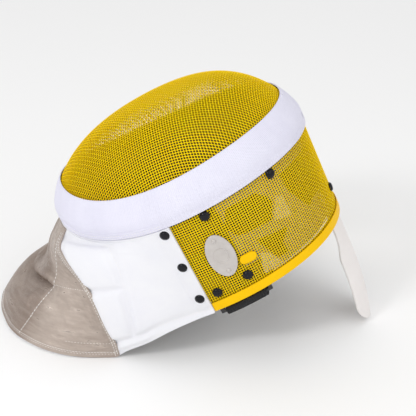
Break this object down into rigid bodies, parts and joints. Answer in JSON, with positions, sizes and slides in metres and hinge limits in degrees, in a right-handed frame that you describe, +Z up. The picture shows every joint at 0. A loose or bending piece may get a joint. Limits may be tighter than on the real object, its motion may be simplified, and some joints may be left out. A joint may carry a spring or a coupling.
{
  "type": "fencing mask",
  "caption": "Wire-mesh fencing mask with a domed face, elastic trim band, padded throat bib with a conductive front, back tongue and strap, lying face up.",
  "frame": {"origin": "under the middle of the mask's box, on the surface it lies on", "axes": "+X towards the raised crown and the tongue, +Y towards the wearer's right, +Z up, the face mesh uppermost"},
  "size_m": [0.3978, 0.2232, 0.2593],
  "materials": {
    "mesh_yellow": "satin coated wire",
    "rim_yellow": "satin enamel",
    "band_white": "fine ribbed elastic",
    "bib_white": "padded cloth",
    "front_silver": "metallic woven cloth",
    "liner_grey": "brushed padding",
    "tongue_white": "smooth coating over a steel spring",
    "loop_black": "moulded",
    "strap_black": "napped webbing",
    "plate_steel": "brushed",
    "snap_black": "glossy enamel"
  },
  "bodies": {
    "root": {"front_mesh": "mesh_yellow", "side_mesh": "mesh_yellow", "trim_band": "band_white", "rim_edging": "rim_yellow", "bib": "bib_white", "bib_front": "front_silver", "liner": "liner_grey", "back_tongue": "tongue_white", "strap_loop_left": "loop_black", "strap_loop_right": "loop_black", "back_strap": "strap_black", "bib_snap_left_1": "snap_black", "bib_snap_left_2": "snap_black", "bib_snap_left_3": "snap_black", "bib_snap_right_1": "snap_black", "bib_snap_right_2": "snap_black", "bib_snap_right_3": "snap_black", "band_snap_left_1": "snap_black", "band_snap_left_2": "snap_black", "band_snap_right_1": "snap_black", "band_snap_right_2": "snap_black", "rim_snap_left_1": "snap_black", "rim_snap_left_2": "snap_black", "rim_snap_right_1": "snap_black", "rim_snap_right_2": "snap_black", "crown_rivet": "snap_black", "side_plate": "plate_steel", "plate_rivet_1": "plate_steel", "plate_rivet_2": "plate_steel", "cord_lug": "rim_yellow"}
  },
  "joints": []
}
